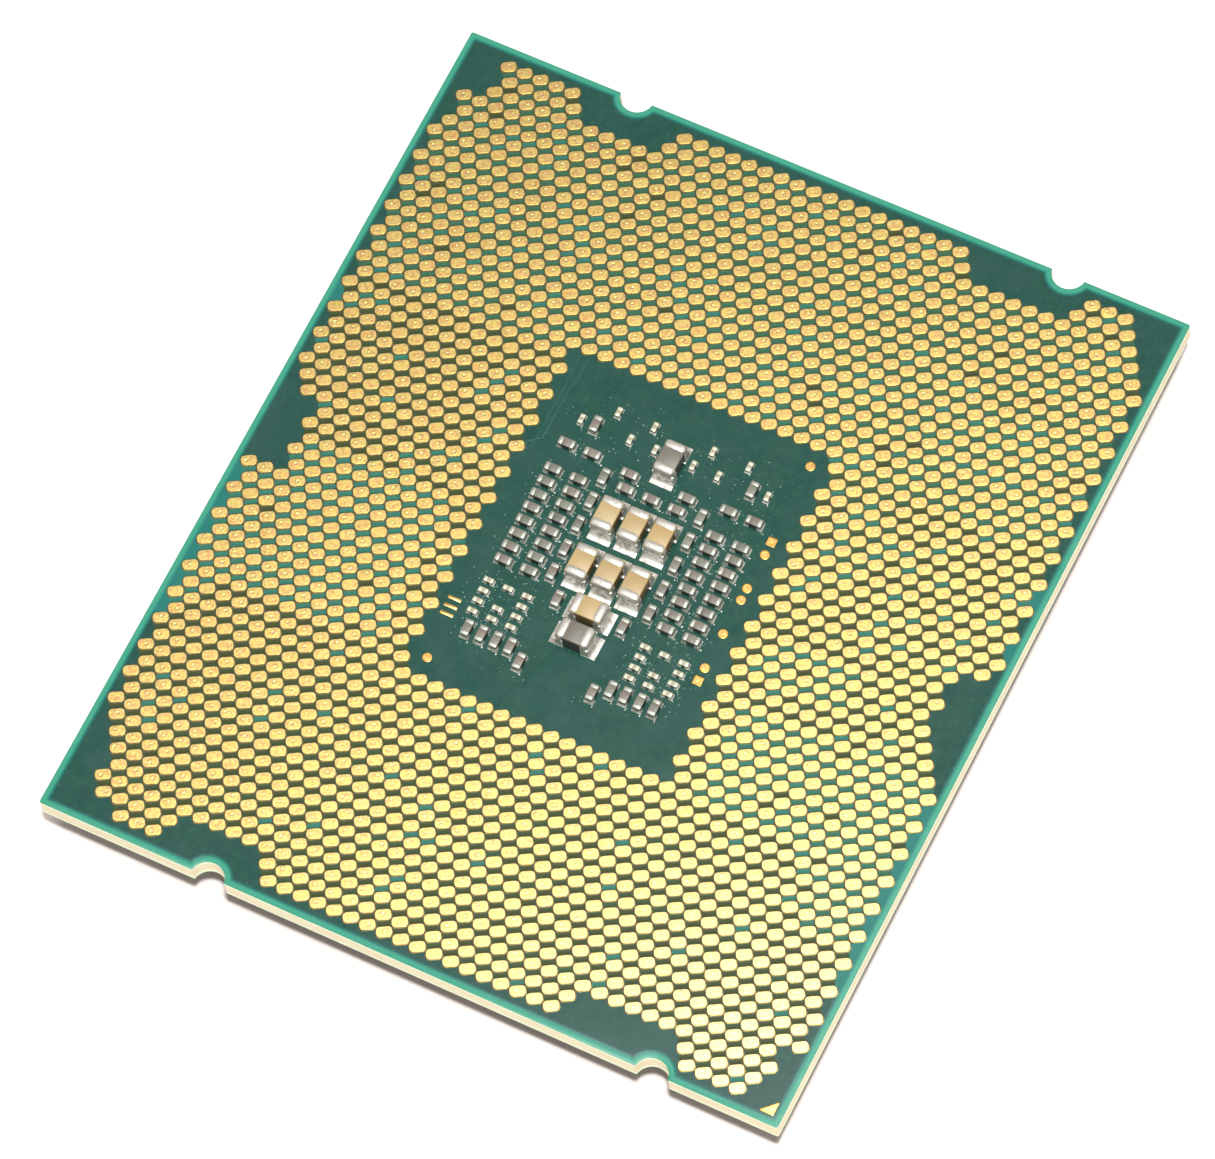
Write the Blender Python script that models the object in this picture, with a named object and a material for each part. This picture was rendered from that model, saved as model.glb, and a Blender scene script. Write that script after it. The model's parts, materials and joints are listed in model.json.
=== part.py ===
"""Flip-chip land grid array processor package, resting on its lid with the lands facing up.

Frame: +X along the short side of the board, +Y along the long side, +Z out of the land face.
The origin is on the outer face of the lid, under the centre of the board. Units are metres.
"""
from math import radians, sqrt

import bmesh
import bpy
from mathutils import Matrix, Vector

MM = 0.001

# Laminated board
BOARD_X = 45.0 * MM
BOARD_Y = 52.5 * MM
CORE_THICKNESS = 0.86 * MM
BUILDUP_THICKNESS = 0.21 * MM
MASK_THICKNESS = 0.03 * MM
LAYER_GAP = 0.01 * MM  # clearance between neighbouring layers

# Half-round keying notches in both short edges
NOTCH_RADIUS = 1.0 * MM
NOTCH_OFFSET = 0.15 * MM  # how far the notch circle's centre lies outside the edge
NOTCH_CENTRES_X = (-12.0 * MM, 15.0 * MM)

# Land lattice: rows along X, every second column used in each row, so each land has six neighbours
LAND_PITCH = 1.016 * MM
LAND_STEP_X = LAND_PITCH / 2
LAND_STEP_Y = LAND_PITCH * sqrt(3) / 2
LAND_COLUMNS = 86
LAND_ROWS = 58
LAND_THICKNESS = 0.03 * MM
LAND_REACH = 0.85  # half of a land, in column steps

# Lid
LID_HEIGHT = 3.10 * MM
LID_FLANGE_THICKNESS = 1.15 * MM
LID_FLANGE_X = 40.5 * MM
LID_FLANGE_Y = 48.0 * MM
LID_FLANGE_CORNER = 1.6 * MM
LID_PLATFORM_X = 34.5 * MM
LID_PLATFORM_Y = 39.0 * MM
LID_PLATFORM_CORNER = 2.4 * MM
LID_EDGE_ROUNDING = 0.22 * MM
LID_CAVITY_X = 33.0 * MM
LID_CAVITY_Y = 38.0 * MM
LID_CAVITY_CORNER = 3.0 * MM
VENT_RADIUS = 0.45 * MM
VENT_X = -13.2 * MM
VENT_Y = 15.6 * MM
SEALANT_THICKNESS = 0.09 * MM
SEALANT_INSET = 0.4 * MM

# Die stack inside the lid
DIE_X = 20.8 * MM
DIE_Y = 20.9 * MM
DIE_THICKNESS = 0.775 * MM
BUMP_THICKNESS = 0.07 * MM
BUMP_INSET = 0.4 * MM
SOLDER_THICKNESS = 0.30 * MM
UNDERFILL_SKIRT = 1.3 * MM
UNDERFILL_LIP = 0.2 * MM  # width of the fillet where it ends on the die's side
UNDERFILL_CLIMB = 0.45 * MM
DIE_CLEARANCE = 0.02 * MM

# Chip capacitors, as (length, width, height)
LARGE_CHIP = (2.0 * MM, 1.25 * MM, 1.2 * MM)
LARGE_TERMINAL = 0.42 * MM  # length of each metal end
LARGE_PROUD = 0.03 * MM  # how far the metal ends stand out from the ceramic
MEDIUM_CHIP = (1.0 * MM, 0.5 * MM, 0.5 * MM)
SMALL_CHIP = (0.6 * MM, 0.3 * MM, 0.3 * MM)
STRIP_WIDTH = 0.16 * MM
STRIP_HEIGHT = 0.05 * MM

# Flat gold marks
PAD_THICKNESS = 0.02 * MM
DOT_RADIUS = 0.285 * MM
SQUARE_PAD = 0.55 * MM
MARKER_LEG = 0.9 * MM

# Levels from the lid's outer face upwards
SEALANT_LOW = LID_HEIGHT + LAYER_GAP
DIE_MASK_LOW = SEALANT_LOW + SEALANT_THICKNESS + LAYER_GAP
DIE_BUILDUP_LOW = DIE_MASK_LOW + MASK_THICKNESS + LAYER_GAP
CORE_LOW = DIE_BUILDUP_LOW + BUILDUP_THICKNESS + LAYER_GAP
LAND_BUILDUP_LOW = CORE_LOW + CORE_THICKNESS + LAYER_GAP
LAND_MASK_LOW = LAND_BUILDUP_LOW + BUILDUP_THICKNESS + LAYER_GAP
LAND_FACE = LAND_MASK_LOW + MASK_THICKNESS + LAYER_GAP  # everything on the land side stands here

# Levels from the board's die side down into the lid
BUMP_LOW = DIE_MASK_LOW - LAYER_GAP - BUMP_THICKNESS
DIE_LOW = BUMP_LOW - LAYER_GAP - DIE_THICKNESS
SOLDER_LOW = DIE_LOW - LAYER_GAP - SOLDER_THICKNESS
CAVITY_CEILING = SOLDER_LOW - LAYER_GAP


def clear_scene():
    for item in list(bpy.data.objects):
        bpy.data.objects.remove(item, do_unlink=True)


def new_collection(name):
    collection = bpy.data.collections.new(name)
    bpy.context.scene.collection.children.link(collection)
    return collection


clear_scene()
PARTS = new_collection("processor_package")
CUTTERS = new_collection("cutters")


def finish(name, colour, roughness, metallic=0.0):
    """A Principled material in one colour."""
    material = bpy.data.materials.new(name)
    material.use_nodes = True
    shader = material.node_tree.nodes["Principled BSDF"]
    shader.inputs["Base Color"].default_value = (*colour, 1.0)
    shader.inputs["Roughness"].default_value = roughness
    shader.inputs["Metallic"].default_value = metallic
    return material


FIBREGLASS = finish("fibreglass", (0.78, 0.66, 0.45), 0.7)
BUILDUP = finish("buildup_resin", (0.83, 0.80, 0.60), 0.6)
MASK = finish("solder_mask", (0.035, 0.13, 0.09), 0.35)
GOLD = finish("gold_plating", (0.90, 0.62, 0.24), 0.3, 1.0)
NICKEL = finish("nickel_plating", (0.62, 0.62, 0.60), 0.32, 1.0)
SILICON = finish("silicon", (0.22, 0.23, 0.26), 0.15, 0.6)
INDIUM = finish("indium_solder", (0.66, 0.67, 0.68), 0.35, 1.0)
BUMP_TIN = finish("bump_solder", (0.60, 0.61, 0.62), 0.4, 1.0)
UNDERFILL = finish("underfill_epoxy", (0.10, 0.10, 0.11), 0.45)
SEALANT = finish("lid_sealant", (0.04, 0.04, 0.04), 0.6)
TAN_CERAMIC = finish("tan_ceramic", (0.62, 0.42, 0.22), 0.5)
GREY_CERAMIC = finish("grey_ceramic", (0.28, 0.24, 0.23), 0.5)


def new_object(name, data, material, collection, location=(0, 0, 0)):
    item = bpy.data.objects.new(name, data)
    item.location = location
    if material:
        data.materials.append(material)
    collection.objects.link(item)
    if collection is CUTTERS:
        item.hide_render = True
        item.display_type = "WIRE"
    return item


def mesh_object(name, bm, material, collection, location=(0, 0, 0)):
    mesh = bpy.data.meshes.new(name)
    bm.to_mesh(mesh)
    bm.free()
    return new_object(name, mesh, material, collection, location)


def add_box(bm, size, centre=(0, 0, 0)):
    """Adds a box to bm and returns its vertices."""
    matrix = Matrix.Translation(centre) @ Matrix.Diagonal((*size, 1.0))
    return bmesh.ops.create_cube(bm, size=1.0, matrix=matrix)["verts"]


def upright_edges(bm):
    return [edge for edge in bm.edges if abs(edge.verts[0].co.z - edge.verts[1].co.z) > 1e-6]


def rim_edges(bm, level):
    """Edges of the outline at one level, where a side wall meets the flat face."""
    return [edge for edge in bm.edges if all(abs(vert.co.z - level) < 1e-7 for vert in edge.verts)]


def block(name, size_x, size_y, low, high, material, collection=PARTS, corner=0.0, rounding=0.0):
    """A plate between two levels, centred on the Z axis, with rounded corners and lower rim."""
    bm = bmesh.new()
    height = high - low
    add_box(bm, (size_x, size_y, height), (0, 0, height / 2))
    if corner:
        bmesh.ops.bevel(bm, geom=upright_edges(bm), offset=corner, segments=6, profile=0.5, affect="EDGES")
    if rounding:
        bmesh.ops.bevel(bm, geom=rim_edges(bm, 0.0), offset=rounding, segments=2, profile=0.5, affect="EDGES")
    return mesh_object(name, bm, material, collection, (0, 0, low))


def cylinder(name, radius, low, high, centre, material, collection=PARTS, segments=24):
    bm = bmesh.new()
    height = high - low
    bmesh.ops.create_cone(bm, cap_ends=True, segments=segments, radius1=radius, radius2=radius,
                          depth=height, matrix=Matrix.Translation((0, 0, height / 2)))
    return mesh_object(name, bm, material, collection, (centre[0], centre[1], low))


def combine(item, tool, operation):
    modifier = item.modifiers.new(tool.name, "BOOLEAN")
    modifier.operation = operation
    modifier.solver = "EXACT"
    modifier.object = tool


def outline_plate(name, points, low, thickness, material, centre=(0, 0)):
    """A flat outline given a thickness, as a filled 2D curve."""
    curve = bpy.data.curves.new(name, "CURVE")
    curve.dimensions = "2D"
    curve.fill_mode = "BOTH"
    curve.extrude = thickness / 2
    spline = curve.splines.new("POLY")
    spline.points.add(len(points) - 1)
    for target, (x, y) in zip(spline.points, points):
        target.co = (x, y, 0, 1)
    spline.use_cyclic_u = True
    return new_object(name, curve, material, PARTS, (centre[0], centre[1], low + thickness / 2))


# Board ------------------------------------------------------------------------------------------

def notch_cutter():
    """Four upright pins that cut the keying notches through every layer."""
    bm = bmesh.new()
    height = LAND_FACE + 1 * MM
    for x in NOTCH_CENTRES_X:
        for side in (-1, 1):
            y = side * (BOARD_Y / 2 + NOTCH_OFFSET)
            bmesh.ops.create_cone(bm, cap_ends=True, segments=48, radius1=NOTCH_RADIUS,
                                  radius2=NOTCH_RADIUS, depth=height,
                                  matrix=Matrix.Translation((x, y, height / 2)))
    return mesh_object("notch_pins", bm, None, CUTTERS)


def board_layers():
    pins = notch_cutter()
    layers = (
        ("substrate_core", CORE_LOW, CORE_THICKNESS, FIBREGLASS),
        ("land_side_buildup", LAND_BUILDUP_LOW, BUILDUP_THICKNESS, BUILDUP),
        ("die_side_buildup", DIE_BUILDUP_LOW, BUILDUP_THICKNESS, BUILDUP),
        ("land_side_solder_mask", LAND_MASK_LOW, MASK_THICKNESS, MASK),
        ("die_side_solder_mask", DIE_MASK_LOW, MASK_THICKNESS, MASK),
    )
    for name, low, thickness, material in layers:
        layer = block(name, BOARD_X, BOARD_Y, low, low + thickness, material)
        combine(layer, pins, "DIFFERENCE")


# Lands ------------------------------------------------------------------------------------------

def site(column, row):
    """Place of a lattice site; half numbers lie between sites."""
    x = (column - (LAND_COLUMNS - 1) / 2) * LAND_STEP_X
    y = ((LAND_ROWS - 1) / 2 - row) * LAND_STEP_Y
    return x, y


def land_fields():
    """Four plates, each standing for one field of lands round the bare centre of the board.

    The corners are lattice sites: the fields step in at the board's corners and round the notches.
    """
    first = -LAND_REACH
    last = LAND_COLUMNS - 1 + LAND_REACH
    top = -0.45
    bottom = LAND_ROWS - 1 + 0.45
    north = [
        (first, 16.45), (first, 4.6), (1.0, 4.5), (1.0, 3.5), (first, 3.45), (first, 2.6), (3.2, 2.5),
        (3.2, 1.5), (4.2, 1.4), (4.2, 0.5), (3.2, 0.4), (3.2, top), (13.3, top), (13.3, 1.4),
        (24.7, 1.4), (25.1, top), (61.1, top), (61.6, 1.4), (74.2, 1.4), (75.1, top), (80.8, top),
        (82.9, 1.4), (84.2, 3.4), (last, 3.6), (last, 16.45),
    ]
    south = [
        (first, 40.55), (last, 40.55), (last, 53.4), (83.6, 53.6), (82.5, 54.5), (84.3, 55.4),
        (81.8, bottom), (73.8, bottom), (72.9, 55.5), (61.3, 55.5), (60.6, bottom), (24.1, bottom),
        (23.3, 55.5), (13.5, 55.5), (12.1, bottom), (6.3, bottom), (6.2, 56.5), (3.2, 56.4),
        (3.2, 54.5), (4.2, 54.4), (2.2, 52.6), (first, 51.4),
    ]
    west = [
        (first, 16.55), (26.85, 16.55), (26.85, 40.45), (first, 40.45), (first, 32.6), (4.1, 32.4),
        (4.1, 26.6), (first, 25.4),
    ]
    east = [
        (58.15, 16.55), (last, 16.55), (last, 26.4), (81.0, 26.6), (81.0, 31.4), (83.2, 33.4),
        (last, 33.6), (last, 40.45), (58.15, 40.45),
    ]
    fields = {"north": north, "south": south, "west": west, "east": east}
    for side, corners in fields.items():
        points = [site(column, row) for column, row in corners]
        outline_plate("land_field_" + side, points, LAND_FACE, LAND_THICKNESS, GOLD)


# Marks and probe pads ---------------------------------------------------------------------------

def pin_one_markers():
    """Right-angled gold triangles at the pin one corner, on both faces."""
    corner_x = BOARD_X / 2 - 0.5 * MM
    corner_y = -BOARD_Y / 2 + 0.53 * MM
    triangle = [(0, 0), (0, MARKER_LEG), (-MARKER_LEG, 0)]
    die_side_level = DIE_MASK_LOW - LAYER_GAP - PAD_THICKNESS
    for name, level in (("pin_one_marker_land_side", LAND_FACE), ("pin_one_marker_die_side", die_side_level)):
        outline_plate(name, triangle, level, PAD_THICKNESS, GOLD, (corner_x, corner_y))


def probe_pads():
    """Round and square gold pads in the bare centre."""
    column_x = 7.12 * MM
    high = LAND_FACE + PAD_THICKNESS
    for index, y in enumerate((3.71, 1.48, 0.71, -1.53, -3.79)):
        cylinder(f"probe_pad_{index + 1}", DOT_RADIUS, LAND_FACE, high, (column_x, y * MM), GOLD)
    for name, sign in (("fiducial_upper", 1), ("fiducial_lower", -1)):
        centre = (sign * 7.05 * MM, sign * 9.61 * MM)
        cylinder(name, DOT_RADIUS, LAND_FACE, high, centre, GOLD)
    for name, y in (("square_pad_upper", 4.56), ("square_pad_lower", -4.63)):
        pad = block(name, SQUARE_PAD, SQUARE_PAD, LAND_FACE, high, GOLD)
        pad.location.x = column_x
        pad.location.y = y * MM


# Capacitors -------------------------------------------------------------------------------------

def large_capacitor(name, x, y, along, material):
    """A chip whose metal ends stand slightly proud of the ceramic between them."""
    length, width, height = LARGE_CHIP
    half_length = length / 2
    neck = half_length - LARGE_TERMINAL
    half_width = width / 2 + LARGE_PROUD
    waist = width / 2
    quarter = [(half_length, half_width), (neck, half_width), (neck, waist)]
    left = [(-x_, y_) for x_, y_ in reversed(quarter)]
    upper = quarter + left
    lower = [(x_, -y_) for x_, y_ in reversed(upper)]
    chip = outline_plate(name, upper + lower, LAND_FACE, height, material, (x * MM, y * MM))
    chip.rotation_euler.z = 0.0 if along == "X" else radians(90)
    return chip


def large_capacitors():
    """Two rows of three and three single large chips; places are in millimetres."""
    pitch_x = 1.633
    for row, y in enumerate((1.925, -1.24)):
        for column in (-1, 0, 1):
            name = f"power_capacitor_{row + 1}_{column + 2}"
            large_capacitor(name, column * pitch_x, y, "Y", TAN_CERAMIC)
    large_capacitor("power_capacitor_north", 0.0, 6.425, "Y", GREY_CERAMIC)
    large_capacitor("power_capacitor_south", 0.0, -3.63, "X", TAN_CERAMIC)
    large_capacitor("power_capacitor_far_south", 0.0, -5.27, "X", GREY_CERAMIC)


def chip_group(name, chips, strips=()):
    """Chips that share one solder strip.

    chips holds (x, y, along, size); strips holds (x1, y1, x2, y2), each a low bar between two points.
    """
    def add_chip(bm, chip):
        x, y, along, (length, width, height) = chip
        size = (length, width, height) if along == "X" else (width, length, height)
        add_box(bm, size, (x * MM, y * MM, LAND_FACE + height / 2))

    def add_strip(bm, strip):
        x1, y1, x2, y2 = (value * MM for value in strip)
        size = (abs(x2 - x1) + STRIP_WIDTH, abs(y2 - y1) + STRIP_WIDTH, STRIP_HEIGHT)
        add_box(bm, size, ((x1 + x2) / 2, (y1 + y2) / 2, LAND_FACE + STRIP_HEIGHT / 2))

    bm = bmesh.new()
    if not strips:
        add_chip(bm, chips[0])
        return mesh_object(name, bm, GREY_CERAMIC, PARTS)
    add_strip(bm, strips[0])
    group = mesh_object(name, bm, GREY_CERAMIC, PARTS)
    for index, strip in enumerate(strips[1:]):
        tool = bmesh.new()
        add_strip(tool, strip)
        combine(group, mesh_object(f"{name}_strip_{index}", tool, None, CUTTERS), "UNION")
    tool = bmesh.new()
    for chip in chips:
        add_chip(tool, chip)
    combine(group, mesh_object(name + "_chips", tool, None, CUTTERS), "UNION")
    return group


def medium_capacitors():
    """Banks and rows of medium chips, the same on both sides; places are in millimetres."""
    bank_top = 3.41
    bank_pitch = 0.872
    bank_rows = [5.13] + [bank_top - bank_pitch * index for index in range(8)]
    column_x = 3.0
    column_rows = [4.14 - 1.59 * index for index in range(5)]
    row_y = -7.22
    row_places = (3.10, 3.98, 4.87, 5.75)
    trio_x = 1.575
    trio_y = 3.98
    for side, sign in (("west", -1), ("east", 1)):
        for bank, x in (("outer", 5.80), ("inner", 4.22)):
            chips = [(sign * x, y, "X", MEDIUM_CHIP) for y in bank_rows]
            strip = (sign * x, bank_rows[0], sign * x, bank_rows[-1])
            chip_group(f"capacitor_bank_{side}_{bank}", chips, [strip])
        x = sign * column_x
        chips = [(x, y, "Y", MEDIUM_CHIP) for y in column_rows]
        chip_group(f"capacitor_column_{side}", chips, [(x, column_rows[0], x, column_rows[-1])])
        chips = [(sign * x, row_y, "Y", MEDIUM_CHIP) for x in row_places]
        strip = (sign * row_places[0], row_y, sign * row_places[-1], row_y)
        chip_group(f"capacitor_row_south{side}", chips, [strip])
        chip_group(f"capacitor_single_{side}", [(sign * 2.02, -3.57, "Y", MEDIUM_CHIP)])
        chip_group(f"capacitor_single_south{side}", [(sign * 2.24, -7.82, "Y", MEDIUM_CHIP)])
        chip_group(f"capacitor_single_north{side}", [(sign * 1.775, 4.86, "X", MEDIUM_CHIP)])
    chips = [(x, trio_y, "X", MEDIUM_CHIP) for x in (-trio_x, 0.0, trio_x)]
    chip_group("capacitor_trio_north", chips, [(-trio_x, trio_y, trio_x, trio_y)])


def small_capacitors():
    """Rows and a grid of small chips, the same on both sides; places are in millimetres."""
    north_y = 8.09
    north_places = (1.81, 4.05)
    upper_y = 6.86
    upper_places = (1.165, 2.725, 5.755)
    grid_columns = (3.645, 4.815, 6.01)
    grid_rows = [-4.11 - 0.673 * index for index in range(4)]
    for side, sign in (("west", -1), ("east", 1)):
        chips = [(sign * x, north_y, "Y", SMALL_CHIP) for x in north_places]
        strip = (sign * north_places[0], north_y, sign * north_places[-1], north_y)
        chip_group(f"signal_capacitors_north{side}", chips, [strip])
        chips = [(sign * x, upper_y, "Y", SMALL_CHIP) for x in upper_places]
        chips.append((sign * 4.85, 6.84, "Y", MEDIUM_CHIP))
        strip = (sign * upper_places[0], upper_y, sign * upper_places[-1], upper_y)
        chip_group(f"signal_capacitors_upper_{side}", chips, [strip])
        chips = []
        for column, x in enumerate(grid_columns):
            for row, y in enumerate(grid_rows):
                if (column, row) != (1, 1):
                    chips.append((sign * x, y, "X", SMALL_CHIP))
        strips = [(sign * x, grid_rows[0], sign * x, grid_rows[-1]) for x in grid_columns]
        strips.append((sign * grid_columns[0], grid_rows[2], sign * grid_columns[-1], grid_rows[2]))
        chip_group(f"signal_capacitor_grid_{side}", chips, strips)


# Die stack and lid ------------------------------------------------------------------------------

def die_stack():
    """The die, the solder bumps between it and the board, and the solder that joins it to the lid."""
    block("solder_bump_layer", DIE_X - 2 * BUMP_INSET, DIE_Y - 2 * BUMP_INSET, BUMP_LOW,
          BUMP_LOW + BUMP_THICKNESS, BUMP_TIN)
    block("silicon_die", DIE_X, DIE_Y, DIE_LOW, DIE_LOW + DIE_THICKNESS, SILICON)
    block("indium_solder", DIE_X, DIE_Y, SOLDER_LOW, SOLDER_LOW + SOLDER_THICKNESS, INDIUM)


def underfill():
    """A fillet of epoxy round the die, widest where it meets the board."""
    low = DIE_LOW + DIE_THICKNESS - UNDERFILL_CLIMB
    high = DIE_MASK_LOW - LAYER_GAP
    height = high - low
    bm = bmesh.new()
    add_box(bm, (DIE_X + 2 * UNDERFILL_SKIRT, DIE_Y + 2 * UNDERFILL_SKIRT, height), (0, 0, height / 2))
    bmesh.ops.bevel(bm, geom=upright_edges(bm), offset=UNDERFILL_SKIRT, segments=5, profile=0.5,
                    affect="EDGES")
    lower = [vert for vert in bm.verts if vert.co.z < height / 2]
    shrink_x = (DIE_X / 2 + UNDERFILL_LIP) / (DIE_X / 2 + UNDERFILL_SKIRT)
    shrink_y = (DIE_Y / 2 + UNDERFILL_LIP) / (DIE_Y / 2 + UNDERFILL_SKIRT)
    bmesh.ops.scale(bm, vec=Vector((shrink_x, shrink_y, 1.0)), verts=lower)
    fillet = mesh_object("underfill", bm, UNDERFILL, PARTS, (0, 0, low))
    window = block("underfill_window", DIE_X + 2 * DIE_CLEARANCE, DIE_Y + 2 * DIE_CLEARANCE, low - MM,
                   high + MM, None, CUTTERS)
    combine(fillet, window, "DIFFERENCE")


def heat_spreader():
    """The flanged lid: a wide flange, a raised platform, and the cavity that holds the die."""
    flange_low = LID_HEIGHT - LID_FLANGE_THICKNESS
    lid = block("heat_spreader", LID_FLANGE_X, LID_FLANGE_Y, flange_low, LID_HEIGHT, NICKEL,
                corner=LID_FLANGE_CORNER, rounding=LID_EDGE_ROUNDING)
    platform = block("lid_platform", LID_PLATFORM_X, LID_PLATFORM_Y, 0.0, flange_low + 0.3 * MM, None,
                     CUTTERS, corner=LID_PLATFORM_CORNER, rounding=LID_EDGE_ROUNDING)
    cavity = block("lid_cavity", LID_CAVITY_X, LID_CAVITY_Y, CAVITY_CEILING, LID_HEIGHT + MM, None,
                   CUTTERS, corner=LID_CAVITY_CORNER)
    vent = cylinder("lid_vent", VENT_RADIUS, -MM, LID_HEIGHT + MM, (VENT_X, VENT_Y), None, CUTTERS)
    combine(lid, platform, "UNION")
    combine(lid, cavity, "DIFFERENCE")
    combine(lid, vent, "DIFFERENCE")
    return lid


def lid_sealant():
    """The ring of adhesive between the lid's bonding face and the board."""
    outer_x = LID_FLANGE_X - 2 * SEALANT_INSET
    outer_y = LID_FLANGE_Y - 2 * SEALANT_INSET
    high = SEALANT_LOW + SEALANT_THICKNESS
    ring = block("lid_sealant", outer_x, outer_y, SEALANT_LOW, high, SEALANT, corner=LID_FLANGE_CORNER)
    window = block("sealant_window", LID_CAVITY_X + 2 * SEALANT_INSET, LID_CAVITY_Y + 2 * SEALANT_INSET,
                   SEALANT_LOW - MM, high + MM, None, CUTTERS, corner=LID_CAVITY_CORNER)
    combine(ring, window, "DIFFERENCE")


board_layers()
land_fields()
pin_one_markers()
probe_pads()
large_capacitors()
medium_capacitors()
small_capacitors()
die_stack()
underfill()
heat_spreader()
lid_sealant()
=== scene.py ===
"""The looks of a land grid array processor package, lying on its lid with its lands facing up.

Every piece is built in metres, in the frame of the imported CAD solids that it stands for.
"""
import json
import math
import random

import bpy
import numpy as np
from mathutils import Matrix, Vector


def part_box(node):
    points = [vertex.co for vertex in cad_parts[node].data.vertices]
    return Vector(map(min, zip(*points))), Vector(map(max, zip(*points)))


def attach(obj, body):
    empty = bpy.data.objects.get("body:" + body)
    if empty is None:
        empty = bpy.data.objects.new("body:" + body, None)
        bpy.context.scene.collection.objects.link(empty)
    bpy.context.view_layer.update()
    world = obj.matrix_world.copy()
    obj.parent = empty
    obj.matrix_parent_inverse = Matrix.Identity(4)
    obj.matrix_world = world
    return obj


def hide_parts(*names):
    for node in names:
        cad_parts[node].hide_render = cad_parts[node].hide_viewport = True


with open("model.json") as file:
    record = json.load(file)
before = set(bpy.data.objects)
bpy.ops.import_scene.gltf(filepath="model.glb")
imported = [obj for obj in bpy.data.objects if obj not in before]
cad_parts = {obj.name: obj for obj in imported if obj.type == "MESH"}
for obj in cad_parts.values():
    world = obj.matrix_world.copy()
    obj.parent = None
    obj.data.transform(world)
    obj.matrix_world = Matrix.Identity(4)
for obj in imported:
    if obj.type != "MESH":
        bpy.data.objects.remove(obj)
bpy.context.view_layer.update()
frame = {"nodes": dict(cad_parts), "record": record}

MM = 0.001  # metres in a millimetre

# Board outline, as on the CAD layers
BOARD_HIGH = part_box("substrate_core")[1]
HALF_X = BOARD_HIGH.x
HALF_Y = BOARD_HIGH.y
NOTCH_RADIUS = 1.0 * MM
NOTCH_OFFSET = 0.15 * MM
NOTCH_CENTRES_X = (-12.0 * MM, 15.0 * MM)
CORNER_RADIUS = 0.12 * MM
COPPER_PULLBACK = 0.33 * MM  # bare laminate round the edge, under the solder mask

# Land lattice
PITCH = 1.016 * MM
STEP_X = PITCH / 2
STEP_Y = PITCH * math.sqrt(3) / 2
COLUMNS = 86
ROWS = 58
CENTRE_ROWS = range(17, 41)
CENTRE_COLUMNS = range(27, 59)
FIELD_ROWS = {
    "north": range(CENTRE_ROWS.start),
    "west": CENTRE_ROWS,
    "east": CENTRE_ROWS,
    "south": range(CENTRE_ROWS.stop, ROWS),
}
TILT = math.radians(30)  # a land's long axis from +X
LAND_LENGTH = 0.905 * MM
LAND_WIDTH = 0.615 * MM
LAND_CORNER = 0.235 * MM
MARKED_SHARE = 0.75  # of the lands, by a test contact
FAR = 9.0  # mm; a place on a land this far out shows neither mark nor edge
OPENING_WIDTH = 0.055 * MM  # gap in the mask opening round a land
OPENING_SHIFT = 0.02 * MM  # how far the openings sit off the lands, across them, widening the painted glow on their near side
# First and last column of each bare stretch in a row: corners, notches and the middle of the long sides
BARE_SITES = {
    0: ((0, 3), (14, 24), (62, 74), (81, 85)),
    1: ((0, 4), (15, 23), (63, 73), (82, 85)),
    2: ((0, 3), (83, 85)),
    3: ((84, 85),),
    4: ((0, 1),),
    26: ((0, 1),),
    27: ((0, 4), (82, 85)),
    28: ((0, 3), (81, 85)),
    29: ((0, 4), (82, 85)),
    30: ((0, 3), (81, 85)),
    31: ((0, 4), (82, 85)),
    32: ((83, 85),),
    33: ((84, 85),),
    52: ((0, 1),),
    53: ((0, 2),),
    54: ((0, 3), (83, 85)),
    55: ((0, 2), (84, 85)),
    56: ((0, 3), (14, 22), (62, 72), (83, 85)),
    57: ((0, 6), (13, 23), (61, 73), (82, 85)),
}

# First and last row of each stretch where the copper stops short beside the lands; -1 is west, 1 is east
BARE_EDGE_ROWS = {
    -1: ((19, 19), (33, 43)),
    1: ((20, 20), (24, 24), (36, 48)),
}

# Tone of the mask between lands: 0 olive over copper, 0.5 green, 1 teal where light passes the laminate.
# West, east, south and north limits in mm, usual tone, share of teal ones; the first that holds applies.
SLOT_ZONES = (
    (-30, -20.0, -13.0, -10.0, 0.92, 0.5),
    (-30, 30, 17.5, 30, 0.54, 0.12),
    (-30, 30, 10.4, 17.5, 0.62, 0.22),
    (-30, -10, -10, -0.5, 0.92, 0.5),
    (10, 15, -3.5, -0.5, 0.75, 0.4),
    (10, 30, -11, -4.4, 0.80, 0.1),
    (18, 30, -15, -11, 0.70, 0.2),
    (10, 13, 5, 10.4, 0.30, 0.5),
    (-30, 30, -9, 10.4, 0.12, 0.16),
    (-30, 30, -30, -9, 0.10, 0.06),
)

OLIVE_SHARE = 0.04  # of the strips between lands, in every zone

MASK_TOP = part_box("land_side_solder_mask")[1].z
MASK_FOOT = MASK_TOP - 0.002 * MM  # where pieces that stand on the mask begin, just below its face
LAND_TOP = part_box("land_field_north")[1].z
LID_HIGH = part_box("heat_spreader")[1]

RANDOM = random.Random(7)
SPECKS_PER_CHIP = 8
CHIP_CENTRES = []  # in metres, filled as the capacitors are made

COLLECTION = bpy.data.collections.new("looks")
bpy.context.scene.collection.children.link(COLLECTION)


# Outlines and lofts ----

def arc(centre, radius, start, end, steps):
    """Points on an arc from start to end, in radians, both ends included."""
    angles = np.linspace(start, end, steps + 1)
    return np.column_stack((centre[0] + radius * np.cos(angles), centre[1] + radius * np.sin(angles)))


def rotated(points, angle):
    """Points in plan, turned counter-clockwise by an angle in radians."""
    cos, sin = math.cos(angle), math.sin(angle)
    return points @ np.array(((cos, sin), (-sin, cos)))


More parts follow.
